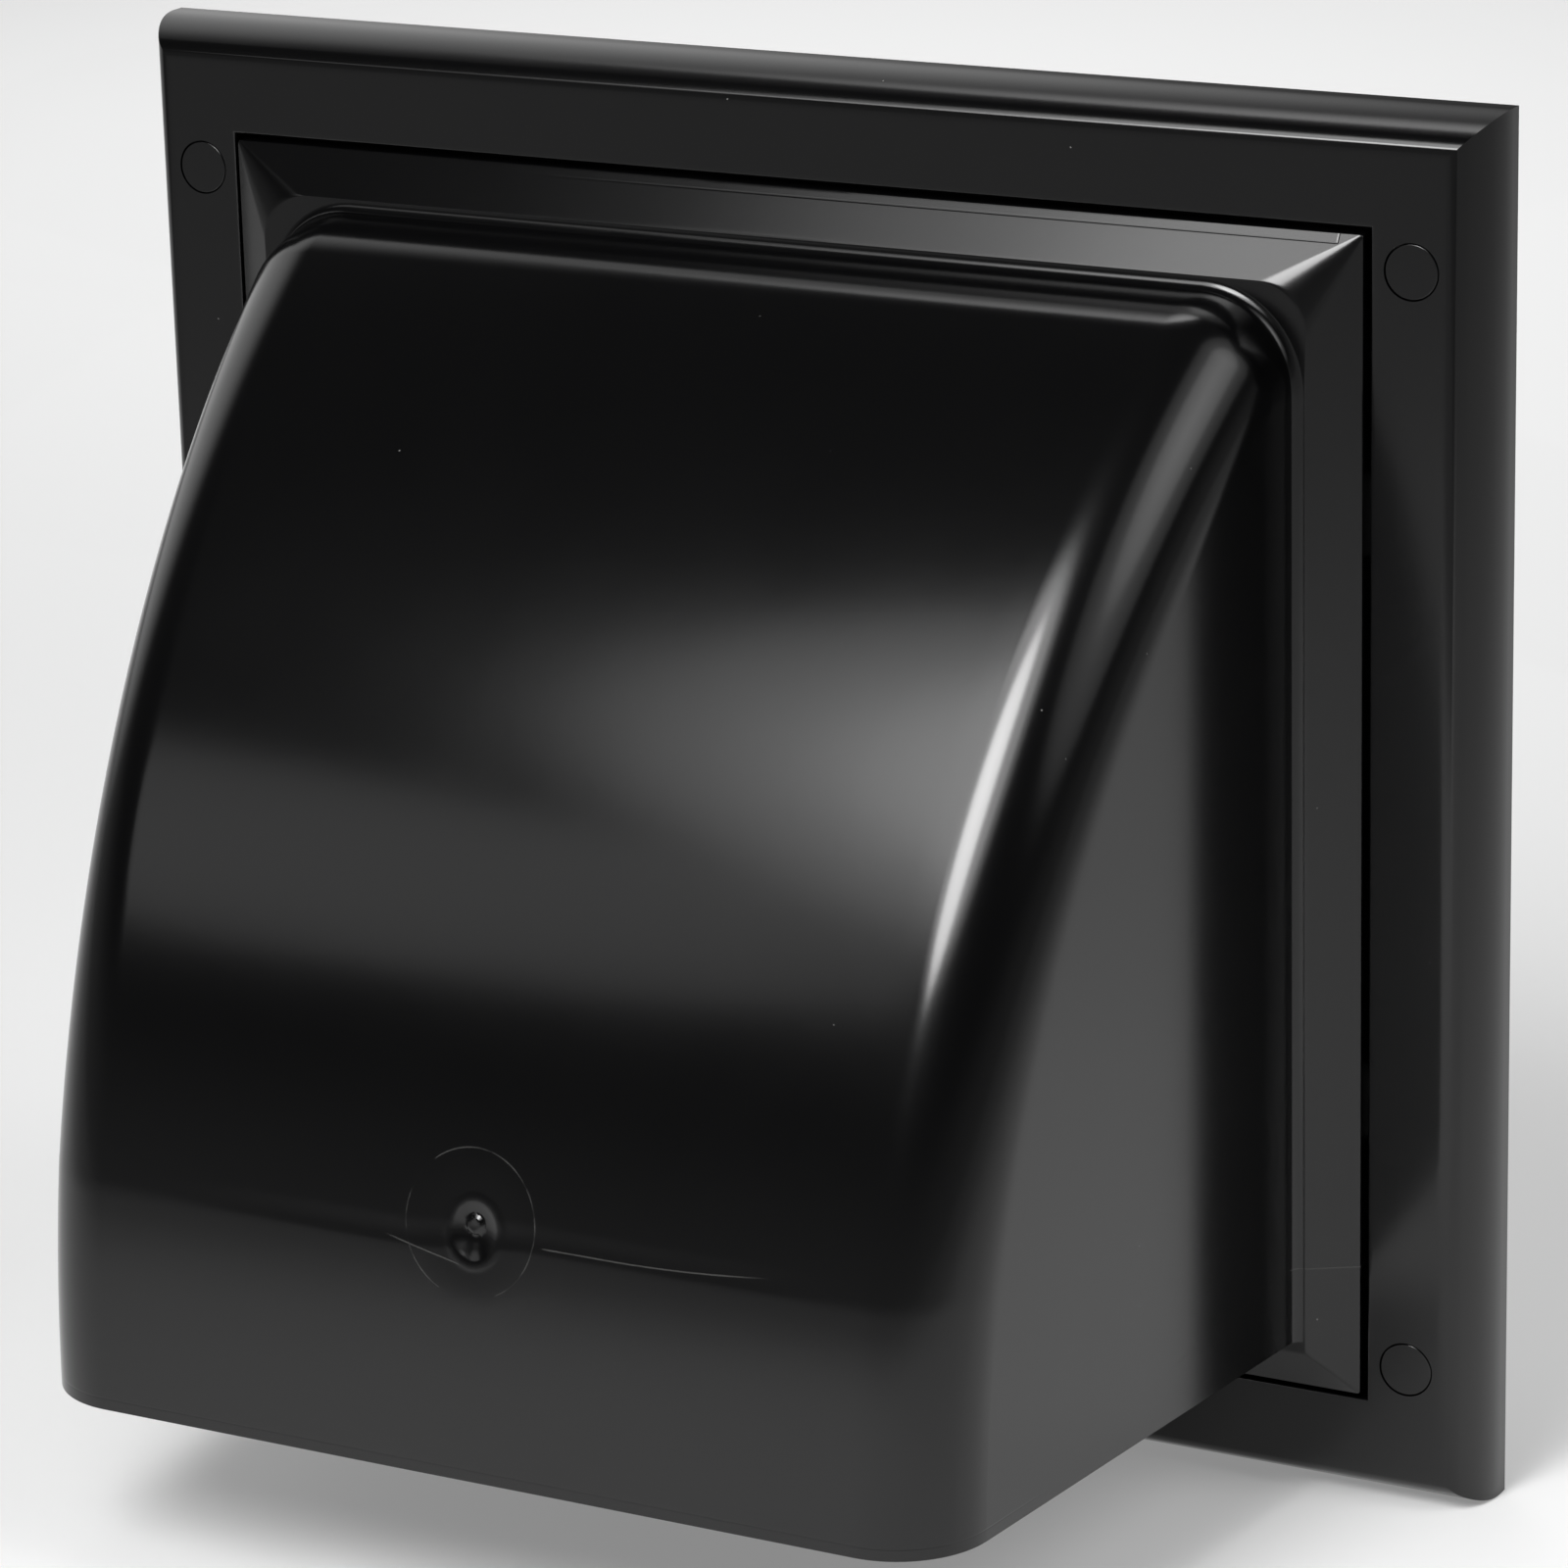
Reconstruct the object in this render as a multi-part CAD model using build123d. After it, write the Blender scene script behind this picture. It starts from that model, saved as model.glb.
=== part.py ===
from build123d import *
import os
from math import cos, radians, sin, sqrt, tan

# Exhaust hood vent for an outside wall, in millimetres.
# The wall plane is Y = 0, the hood stands out towards -Y, the duct collar runs into the wall
# towards +Y, and +Z is up. The origin is where the duct's axis meets the wall.

# Trim frame: a channel moulding, open at the back, with a plain opening for the hood
frame_width = 190.0
frame_height = 178.5
frame_depth = 10.9
side_member = 14.5
end_member = 13.9
frame_edge_run = 5.0
frame_edge_rise = 9.0
frame_edge_crown = 3.2
frame_wall = 2.2
frame_rim_wall = 2.0
frame_lip_chamfer = 0.3

# Fixing points: a screw hole, a pocket for its head and a flush plug, at each corner of the frame
screw_inset_side = 9.26
screw_inset_end = 18.84
screw_hole_diameter = 3.8
screw_head_diameter = 6.4
screw_head_room = 3.0
plug_diameter = 6.8
plug_thickness = 2.2
plug_gap = 0.3
boss_diameter = 10.4

# Mounting base: a ribbed plate held off the wall by its rim, with the duct collar through it
base_stand_off = 2.5
base_plate = 2.5
base_rim_wall = 2.0
base_clearance = 0.6
base_rib_wall = 1.8
collar_diameter = 98.0
collar_wall = 2.2
collar_length = 45.0
collar_lead = 0.8
collar_foot = 1.6
seat_height = 7.0

# Hood: a one-piece moulding with a bevelled flange round its foot and an open underside
hood_gap = 0.75
hood_wall = 2.2
flange_proud = 0.5
flange_corner = 0.4
bevel_run = 7.35
bevel_rise = 3.6
root_land = 1.5
root_chamfer = 1.0
hood_depth = 98.5
hood_draft = 6.4
ledge_depth = 8.6
front_foot_lean = 3.5
hood_edge_radius = 12.0
crest_radius = 13.0
hook_width = 10.0
hook_wall = 2.0
hook_barb = 0.9
hook_spacing = 76.0
hook_clearance = 0.3

# Back-draught damper: a flap on a steel pin, with a foam ring that meets the collar's seat
flap_overlap = 3.0
flap_thickness = 2.0
flap_rib_wall = 1.4
flap_rib_height = 1.6
seal_thickness = 2.0
seal_width = 4.4
seal_gap = 0.3
seal_edge = 0.5
pin_diameter = 3.0
pin_overhang = 2.0
pin_chamfer = 0.4
pin_seat_clearance = 0.02
pin_running_clearance = 0.08
knuckle_wall = 1.8
knuckle_length = 12.0
knuckle_spacing = 36.0
hinge_headroom = 0.6
ear_thickness = 3.5
ear_wall = 2.5
ear_side_gap = 2.5

# How far a cut runs past the face it opens, and how near two places count as the same
overcut = 1.0
same_place = 1e-3

# A flat cut of this share of a radius touches the middle of the rounded corner it stands for
flat_share = 2 - sqrt(2)

# Levels worked out from the sizes above, as distances out from the wall
plate_front = base_stand_off + base_plate
seat_face = plate_front + seat_height
flange_edge = frame_depth + flange_proud
root_level = flange_edge + bevel_rise
seal_back = seat_face + seal_gap
flap_back = seal_back + seal_thickness
flap_front = flap_back + flap_thickness

opening_width = frame_width - 2 * side_member
opening_height = frame_height - 2 * end_member
flange_width = opening_width - 2 * hood_gap
flange_height = opening_height - 2 * hood_gap
root_width = flange_width - 2 * bevel_run
root_height = flange_height - 2 * bevel_run
hood_bottom = -root_height / 2

screw_x = frame_width / 2 - screw_inset_side
screw_z = frame_height / 2 - screw_inset_end
screw_points = [(x, z) for x in (-screw_x, screw_x) for z in (-screw_z, screw_z)]

collar_radius = collar_diameter / 2
duct_radius = collar_radius - collar_wall
flap_radius = collar_radius + flap_overlap
knuckle_radius = pin_diameter / 2 + pin_running_clearance + knuckle_wall
hinge_out = flap_front - flap_thickness / 2
hinge_height = flap_radius - seal_edge + hinge_headroom + knuckle_radius / 2
ear_inner = knuckle_spacing / 2 + knuckle_length / 2 + ear_side_gap
ear_radius = pin_diameter / 2 + ear_wall
hook_points = [(side, z) for side in (-1, 1) for z in (-hook_spacing / 2, hook_spacing / 2)]


def block(width, height, back, front, x=0.0, z=0.0):
    # Rectangular solid between two distances out from the wall, centred on x and z
    size = Box(width, front - back, height)
    return Pos(x, -(back + front) / 2, z) * size


def rod(radius, back, front, x=0.0, z=0.0):
    # Round solid square to the wall, between two distances out from it
    return Pos(x, -(back + front) / 2, z) * Rot(90, 0, 0) * Cylinder(radius, front - back)


def cross_rod(radius, length, out, z, x=0.0):
    # Round solid along X, at a distance out from the wall
    return Pos(x, -out, z) * Rot(0, 90, 0) * Cylinder(radius, length)


def wall_sketch(width, height, out):
    # Rectangle parallel to the wall, at a distance out from it
    return Plane((0, -out, 0), x_dir=(1, 0, 0), z_dir=(0, -1, 0)) * Rectangle(width, height)


def cushion(inset):
    # The frame's outer form, moved inwards by inset: each edge curves in as two tangent arcs
    run = frame_edge_run - inset
    rise = frame_edge_rise - inset
    crown = frame_edge_crown - inset
    front = frame_depth - inset
    across = Plane((0, 0, 0), x_dir=(1, 0, 0), z_dir=(0, 0, 1))
    upright = Plane((0, 0, 0), x_dir=(0, 0, 1), z_dir=(-1, 0, 0))
    side = (run**2 + rise**2 - 2 * rise * crown) / (2 * (run - crown))
    sideways = (side - run) / (side - crown)
    forwards = (rise - crown) / (side - crown)

    def section(plane, width, length):
        half = width / 2 - inset
        meet = (half - run + crown * sideways, crown * (1 - forwards) - front)
        crown_arc = TangentArc((half - run, -front), meet, tangent=(1, 0))
        side_arc = TangentArc(meet, (half, rise - front), tangent=crown_arc % 1)
        right = crown_arc + side_arc
        left = mirror(right, about=Plane.YZ)
        face = Line((run - half, -front), (half - run, -front))
        back = Polyline((half, rise - front), (half, 0), (-half, 0), (-half, rise - front))
        return extrude(plane * make_face(right + left + face + back), amount=length / 2, both=True)

    return section(across, frame_width, frame_height) & section(upright, frame_height, frame_width)


def make_trim_frame():
    body = cushion(0)
    hollow = cushion(frame_wall)
    rim_width = opening_width + 2 * frame_rim_wall
    rim_height = opening_height + 2 * frame_rim_wall
    rim = block(rim_width, rim_height, plate_front, frame_depth)
    body = body - (hollow - rim)

    for x, z in screw_points:
        body += rod(boss_diameter / 2, plate_front, frame_depth - frame_wall / 2, x, z)
    body -= block(opening_width, opening_height, -overcut, frame_depth + overcut)
    for x, z in screw_points:
        plug_floor = frame_depth - plug_thickness
        head_floor = plug_floor - screw_head_room
        body -= rod(plug_diameter / 2 + plug_gap, plug_floor, frame_depth + overcut, x, z)
        body -= rod(screw_head_diameter / 2, head_floor, frame_depth, x, z)
        body -= rod(screw_hole_diameter / 2, 0, frame_depth, x, z)

    lip = body.edges().filter_by(lambda e: abs(e.center().Y + frame_depth) < same_place)
    lip = [e for e in lip if e.geom_type == GeomType.LINE and is_opening_edge(e.center())]
    return chamfer(lip, frame_lip_chamfer)


def is_opening_edge(point):
    on_side = abs(abs(point.X) - opening_width / 2) < same_place
    on_end = abs(abs(point.Z) - opening_height / 2) < same_place
    return on_side or on_end


def make_screw_plugs():
    floor = frame_depth - plug_thickness
    return Compound(children=[rod(plug_diameter / 2, floor, frame_depth, x, z) for x, z in screw_points])


def make_mounting_base():
    width = frame_width - 2 * frame_wall - 2 * base_clearance
    height = frame_height - 2 * frame_wall - 2 * base_clearance
    body = block(width, height, 0, plate_front)
    body -= block(width - 2 * base_rim_wall, height - 2 * base_rim_wall, 0, base_stand_off)
    for x, z in screw_points:
        body += rod(boss_diameter / 2, 0, plate_front, x, z)

    # Ribs on the back run from the collar out to the rim, straight across
    body += block(width, base_rib_wall, 0, base_stand_off)
    body += block(base_rib_wall, height, 0, base_stand_off)

    tube = rod(collar_radius, -collar_length, seat_face)
    tube = chamfer(tube.edges().sort_by(Axis.Y)[-1], collar_lead)
    body += tube + rod(collar_radius + collar_foot, 0, plate_front)
    for side in (-1, 1):
        x = side * (ear_inner + ear_thickness / 2)
        arm = block(ear_thickness, 2 * ear_radius, plate_front - base_plate / 2, hinge_out, x, hinge_height)
        body += arm + cross_rod(ear_radius, ear_thickness, hinge_out, hinge_height, x)
    body -= rod(duct_radius, -collar_length - overcut, seat_face + overcut)
    body -= cross_rod(pin_diameter / 2 + pin_seat_clearance, frame_width / 2, hinge_out, hinge_height)

    for x, z in screw_points:
        body -= rod(screw_hole_diameter / 2, -overcut, plate_front + overcut, x, z)

    # Each hook springs outwards through its slot, and its barb catches behind the slot's inner edge
    slot_inner = flange_width / 2 - hook_wall - hook_clearance
    slot_outer = flange_width / 2 + hook_barb + hook_clearance
    for side, z in hook_points:
        x = side * (slot_inner + slot_outer) / 2
        length = hook_width + 2 * hook_clearance
        body -= block(slot_outer - slot_inner, length, 0, plate_front + overcut, x, z)
    return body


def hood_form(inset, back):
    # Closed form of the hood's walls, moved inwards by inset, from a distance out from the wall
    draft = radians(hood_draft)
    lean = radians(front_foot_lean)
    shift = inset / cos(draft)

    # The front is one arc from the crest to the foot, leaning a little at the foot
    crest_out = root_level + ledge_depth
    crest_up = root_height / 2 - ledge_depth * tan(draft)
    run = crest_out - hood_depth
    rise = crest_up - hood_bottom
    radius = (run**2 + rise**2) / (2 * (-run * cos(lean) - rise * sin(lean)))
    centre_out = hood_depth - radius * cos(lean)
    centre_up = hood_bottom - radius * sin(lean)

    # The sloping top meets that arc at the crest
    inner_radius = radius - inset
    top_up = root_height / 2 + root_level * tan(draft) - shift
    slope = tan(draft)
    drop = top_up - centre_up - slope * centre_out
    a = 1 + slope**2
    b = -slope * drop
    c = drop**2 - inner_radius**2
    reach = (-b + sqrt(b**2 - a * c)) / a
    crest = (centre_out + reach, top_up - slope * (centre_out + reach))
    foot_out = centre_out + sqrt(inner_radius**2 - (hood_bottom - centre_up) ** 2)

    side = Plane((0, 0, 0), x_dir=(0, -1, 0), z_dir=(-1, 0, 0))
    start = (back, hood_bottom)
    foot = (foot_out, hood_bottom)
    top = (back, top_up - slope * back)
    middle_up = (crest[1] + hood_bottom) / 2
    middle = (centre_out + sqrt(inner_radius**2 - (middle_up - centre_up) ** 2), middle_up)
    outline = Line(start, foot) + ThreePointArc(foot, middle, crest) + Line(crest, top) + Line(top, start)
    profile = make_face(outline)
    corner = profile.vertices().sort_by_distance(crest)[0]
    profile = fillet(corner, crest_radius - inset)
    body = extrude(side * profile, amount=frame_width / 2, both=True)

    def half_width(out):
        return root_width / 2 - (out - root_level) * tan(draft) - shift

    far = hood_depth + hood_wall
    plan = make_face(Polyline(
        (-half_width(back), -back), (half_width(back), -back),
        (half_width(far), -far), (-half_width(far), -far), close=True))
    body = body & extrude(plan, amount=frame_height, both=True)
    # Outside corners are round, hidden inside ones are cut flat
    if inset:
        return chamfer(side_edges(body), (hood_edge_radius - inset) * flat_share)
    return fillet(side_edges(body), hood_edge_radius)


def side_edges(body):
    # Edges of the two drafted side walls, except those on the open underside and at the back
    edges = []
    for wall in (body.faces().sort_by(Axis.X)[0], body.faces().sort_by(Axis.X)[-1]):
        back = wall.edges().sort_by(Axis.Y)[-1].center().Y
        for edge in wall.edges():
            at_foot = abs(edge.center().Z - hood_bottom) < same_place
            at_back = abs(edge.center().Y - back) < same_place
            if not (at_foot or at_back):
                edges.append(edge)
    return edges


def flange_outline(width, height, out, crown, corner, shape):
    # Rectangle parallel to the wall: shape is fillet or chamfer, crown its size at the two upper
    # corners and corner its size at the two lower ones
    face = wall_sketch(width, height, out)
    face = shape([point for point in face.vertices() if point.Z > 0], crown)
    return shape(face.vertices().group_by(Axis.Z)[0], corner)


def flange_form(inset):
    # Skirt and bevel of the flange, moved inwards by inset: the bevel fans out at the upper corners,
    # from the round land at the hood's root to the square edge. Its hidden inside is cut flat there.
    slope = bevel_rise / (bevel_run - root_land)
    edge = flange_edge + inset * slope - inset * sqrt(1 + slope**2)
    land = root_level - inset
    run = (land - edge) / slope
    width = flange_width - 2 * inset
    height = flange_height - 2 * inset
    shape = chamfer if inset else fillet
    share = flat_share if inset else 1
    crown = (hood_edge_radius + root_land - inset) * share
    corner = flange_corner * share
    square = flange_outline(width, height, edge, corner, corner, shape)
    crowned = flange_outline(width - 2 * run, height - 2 * run, land, crown, corner, shape)
    skirt = extrude(square, amount=edge - plate_front, dir=(0, 1, 0))
    return skirt + loft([square, crowned], ruled=True)


def make_hood():
    body = flange_form(0) + hood_form(0, flange_edge)
    body = chamfer([edge for edge in body.edges() if is_root_edge(edge)], root_chamfer)

    # Hollow behind the flange, with a wall left along the mouth's rear edge
    hollow = flange_form(hood_wall)
    mouth_wall = block(flange_width, hood_wall, plate_front, root_level, 0, hood_bottom - hood_wall / 2)
    body = body - (hollow - mouth_wall)
    body = body - hood_form(hood_wall, plate_front)

    for side, z in hook_points:
        x = side * (flange_width / 2 - hook_wall / 2)
        stem = block(hook_wall, hook_width, base_stand_off / 4, plate_front + hood_wall, x, z)
        body += stem + hook_barb_form(side, z)
    return body


def is_root_edge(edge):
    # Where the hood's walls rise from the land, except along the open underside
    ends = [edge @ 0, edge @ 1]
    on_land = all(abs(end.Y + root_level) < same_place for end in ends)
    beside = all(abs(end.X) < root_width / 2 + root_land / 2 for end in ends)
    below = all(end.Z < root_height / 2 + root_land / 2 for end in ends)
    return on_land and beside and below and edge.center().Z > hood_bottom + root_land / 2


def hook_barb_form(side, z):
    # Wedge at the tip of a hook, behind the base plate, facing the middle of the vent
    face = side * (flange_width / 2 - hook_wall)
    tip = base_stand_off / 4
    catch = base_stand_off - hook_clearance / 2
    outline = Polyline((face, -tip), (face, -catch), (face - side * hook_barb, -catch), close=True)
    return Pos(0, 0, z) * extrude(make_face(outline), amount=hook_width / 2, both=True)


def make_damper_flap():
    body = rod(flap_radius, flap_back, flap_front)
    bead = rod(flap_radius, flap_front, flap_front + flap_rib_height)
    bead -= rod(flap_radius - flap_rib_wall, flap_front, flap_front + flap_rib_height)
    body += bead
    rib_length = 2 * flap_radius - flap_rib_wall
    body += block(rib_length, flap_rib_wall, flap_front, flap_front + flap_rib_height)
    body += block(flap_rib_wall, rib_length, flap_front, flap_front + flap_rib_height)

    for side in (-1, 1):
        x = side * knuckle_spacing / 2
        body += block(knuckle_length, hinge_height - collar_radius / 2, flap_back, flap_front,
                      x, (hinge_height + collar_radius / 2) / 2)
        body += cross_rod(knuckle_radius, knuckle_length, hinge_out, hinge_height, x)
    body -= cross_rod(pin_diameter / 2 + pin_running_clearance, frame_width, hinge_out, hinge_height)
    return body


def make_damper_seal():
    outer = flap_radius - seal_edge
    ring = rod(outer, seal_back, flap_back)
    return ring - rod(outer - seal_width, seal_back - overcut, flap_back + overcut)


def make_damper_pin():
    length = 2 * (ear_inner + ear_thickness + pin_overhang)
    pin = cross_rod(pin_diameter / 2, length, hinge_out, hinge_height)
    return chamfer(pin.edges().filter_by(GeomType.CIRCLE), pin_chamfer)


makers = {
    "trim_frame": make_trim_frame,
    "screw_plugs": make_screw_plugs,
    "mounting_base": make_mounting_base,
    "hood": make_hood,
    "damper_flap": make_damper_flap,
    "damper_seal": make_damper_seal,
    "damper_pin": make_damper_pin,
}

os.makedirs("parts", exist_ok=True)
for node, maker in makers.items():
    export_step(maker(), f"parts/{node}.step")
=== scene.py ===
from math import acos, asin, atan2, cos, hypot, pi, radians, sin, sqrt, tan

import bmesh
import bpy
from mathutils import Matrix, Vector


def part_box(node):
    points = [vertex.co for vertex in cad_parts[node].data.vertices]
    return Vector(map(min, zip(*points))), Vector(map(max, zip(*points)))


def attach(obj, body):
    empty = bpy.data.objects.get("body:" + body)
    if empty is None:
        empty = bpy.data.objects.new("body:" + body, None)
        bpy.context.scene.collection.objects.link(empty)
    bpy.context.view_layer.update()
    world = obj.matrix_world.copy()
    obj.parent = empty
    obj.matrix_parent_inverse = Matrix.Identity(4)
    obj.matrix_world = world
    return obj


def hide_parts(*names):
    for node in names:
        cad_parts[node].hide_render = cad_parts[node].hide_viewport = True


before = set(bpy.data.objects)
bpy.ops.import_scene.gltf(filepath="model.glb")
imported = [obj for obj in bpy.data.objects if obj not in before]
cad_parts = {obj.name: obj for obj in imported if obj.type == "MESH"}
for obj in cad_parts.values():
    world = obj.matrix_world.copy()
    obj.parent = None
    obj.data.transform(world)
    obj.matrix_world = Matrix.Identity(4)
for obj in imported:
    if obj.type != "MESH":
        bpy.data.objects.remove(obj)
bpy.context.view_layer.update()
mm = 0.001  # sizes below are millimetres
print("vent: frame loaded, nodes", sorted(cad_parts))


def boxOf(node):
    low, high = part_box(node)
    return [v / mm for v in low], [v / mm for v in high]


# Finishes

class Value:
    # a shader socket that takes part in sums written as Python expressions
    def __init__(self, finish, socket):
        self.finish = finish
        self.socket = socket

    def join(self, operation, first, second):
        return self.finish.node("ShaderNodeMath", {"operation": operation}, {0: first, 1: second})

    def __add__(self, other):
        return self.join("ADD", self, other)

    def __radd__(self, other):
        return self.join("ADD", other, self)

    def __sub__(self, other):
        return self.join("SUBTRACT", self, other)

    def __rsub__(self, other):
        return self.join("SUBTRACT", other, self)

    def __mul__(self, other):
        return self.join("MULTIPLY", self, other)

    def __rmul__(self, other):
        return self.join("MULTIPLY", other, self)

    def __truediv__(self, other):
        return self.join("DIVIDE", self, other)

    def __rtruediv__(self, other):
        return self.join("DIVIDE", other, self)

    def __pow__(self, other):
        return self.join("POWER", self, other)

    def __abs__(self):
        return self.join("ABSOLUTE", self, 0)

    def most(self, other):
        return self.join("MAXIMUM", self, other)


class Finish:
    # one node material, or the world, built from expressions
    def __init__(self, owner):
        owner.use_nodes = True
        self.tree = owner.node_tree
        self.tree.nodes.clear()

    def node(self, kind, settings, inputs, output=0):
        made = self.tree.nodes.new(kind)
        for key, value in settings.items():
            setattr(made, key, value)
        for key, value in inputs.items():
            if isinstance(value, Value):
                self.tree.links.new(value.socket, made.inputs[key])
            else:
                made.inputs[key].default_value = value
        return Value(self, made.outputs[output]) if made.outputs else made

    def place(self):
        spot = self.node("ShaderNodeTexCoord", {}, {}, "Object")
        parts = [self.node("ShaderNodeSeparateXYZ", {}, {0: spot}, axis) for axis in "XYZ"]
        return [spot] + parts

    def noise(self, spot, size, detail=2.0, rough=0.5):
        return self.node("ShaderNodeTexNoise", {}, {
            "Vector": spot, "Scale": 1 / (size * mm), "Detail": detail, "Roughness": rough}, "Fac")

    def ease(self, value, low, high, start=0.0, end=1.0):
        return self.node("ShaderNodeMapRange", {"interpolation_type": "SMOOTHSTEP"}, {
            "Value": value, "From Min": low, "From Max": high, "To Min": start, "To Max": end})

    def span(self, value, start, end):
        # 0 at start, easing to 1 at end, both in millimetres
        return self.ease(value, start * mm, end * mm)

    def line(self, distance, width):
        # 1 on a line, easing to 0 at its width in millimetres
        return self.ease(abs(distance), width * mm, 0.0)

    def tint(self, mask, dark, light):
        return self.node("ShaderNodeMix", {"data_type": "RGBA"}, {0: mask, 6: dark, 7: light}, 2)

    def bump(self, height, depth, under=None):
        links = {"Height": height, "Distance": depth * mm, "Strength": 1.0}
        if under:
            links["Normal"] = under
        return self.node("ShaderNodeBump", {}, links)

    def plastic(self, links):
        shader = self.node("ShaderNodeBsdfPrincipled", {}, links)
        self.node("ShaderNodeOutputMaterial", {}, {"Surface": shader})


def newFinish(name):
    material = bpy.data.materials.new(name)
    return material, Finish(material)


blackShell = {
    "colour": (0.0008, 0.0008, 0.0009, 1), "dustAndSheenColour": (0.30, 0.30, 0.29, 1),
    "roughness": 0.155, "ior": 1.5, "cloudSize": 18.0, "cloudSpread": 0.03,
    "fineSize": 1.6, "fineSpread": 0.015,
    "speckCell": 3.4, "speckShare": 0.14, "speckSize": 0.035, "speckLeast": 0.4,
    "dustAmount": 0.5, "dustRoughness": 0.3,
    "peelSize": 0.9, "peelHeight": 0.0016, "warpSize": 26.0, "warpHeight": 0.020,
}


def shellFinish(name, marks=None):
    # glossy black moulded plastic: soft peel, a slow warp of the surface and a little dust; marks may add
    # painted highlight lines, which share the dust's lighter colour
    material, finish = newFinish(name)
    spot, x, y, z = finish.place()
    cloud = finish.noise(spot, blackShell["cloudSize"], 3.0, 0.55)
    fine = finish.noise(spot, blackShell["fineSize"], 2.0, 0.6)
    rough = blackShell["roughness"] + blackShell["cloudSpread"] * (cloud - 0.5)
    rough = rough + blackShell["fineSpread"] * (fine - 0.5)

    # dust: a few cells of a fine cell pattern hold one speck each
    cells = {"Vector": spot, "Scale": 1 / (blackShell["speckCell"] * mm), "Randomness": 1.0}
    near = finish.node("ShaderNodeTexVoronoi", {}, cells, "Distance")
    pick = finish.node("ShaderNodeTexVoronoi", {}, cells, "Color")
    chance = finish.node("ShaderNodeSeparateColor", {}, {0: pick}, 0)
    spread = finish.node("ShaderNodeSeparateColor", {}, {0: pick}, 1)
    size = blackShell["speckSize"] * (blackShell["speckLeast"] + spread)
    speck = finish.ease(near, size, size * 0.5) * finish.ease(
        chance, blackShell["speckShare"], blackShell["speckShare"] * 0.9)
    dustAndSheen = speck * blackShell["dustAmount"]

    peel = finish.bump(finish.noise(spot, blackShell["peelSize"]), blackShell["peelHeight"])
    normal = finish.bump(finish.noise(spot, blackShell["warpSize"], 1.0), blackShell["warpHeight"], peel)
    # the marks add bumps, and painted highlight lines that join the dust mask
    if marks:
        normal, dustAndSheen = marks(finish, spot, x, y, z, normal, dustAndSheen)
    # the lighter colour shows the dust specks and the painted highlight lines
    finish.plastic({
        "Base Color": finish.tint(dustAndSheen, blackShell["colour"], blackShell["dustAndSheenColour"]),
        "Roughness": rough + blackShell["dustRoughness"] * dustAndSheen, "Normal": normal, "IOR": blackShell["ior"],
    })
    return material


mouldMarks = {
    "hair": 0.14, "score": 0.16, "depth": 0.02, "paintedShine": 0.16, "frontFrom": -70.0, "frontTo": -80.0,
    "breakSize": 5.0, "breakFrom": 0.42, "breakTo": 0.60,
    "ringX": -0.1, "ringZ": -35.4, "ringRadius": 8.9, "ringShare": 0.8,
    "rightZ": -36.8, "rightRise": 1.3, "rightBend": 19.0, "rightRun": 22.0,
    "rightStart": (9.5, 11.0), "rightEnd": (41.0, 34.0),
    "leftX": -9.9, "leftZ": -38.5, "leftFall": 0.213, "leftStart": (-12.0, -9.5), "leftEnd": (-0.5, -3.0),
    "partingZ": -57.3, "partingFall": 0.0987, "partingTo": 60.0, "partingFade": 15.0,
    "partingSide": (58.0, 60.0),
    "wallShare": 0.7, "bevelShare": 0.6, "rootBlend": 0.3,
    "footLine": 1.5, "topLine": 1.1, "topFrom": -60.0, "topTo": 76.7, "topFade": 0.1,
}


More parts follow.
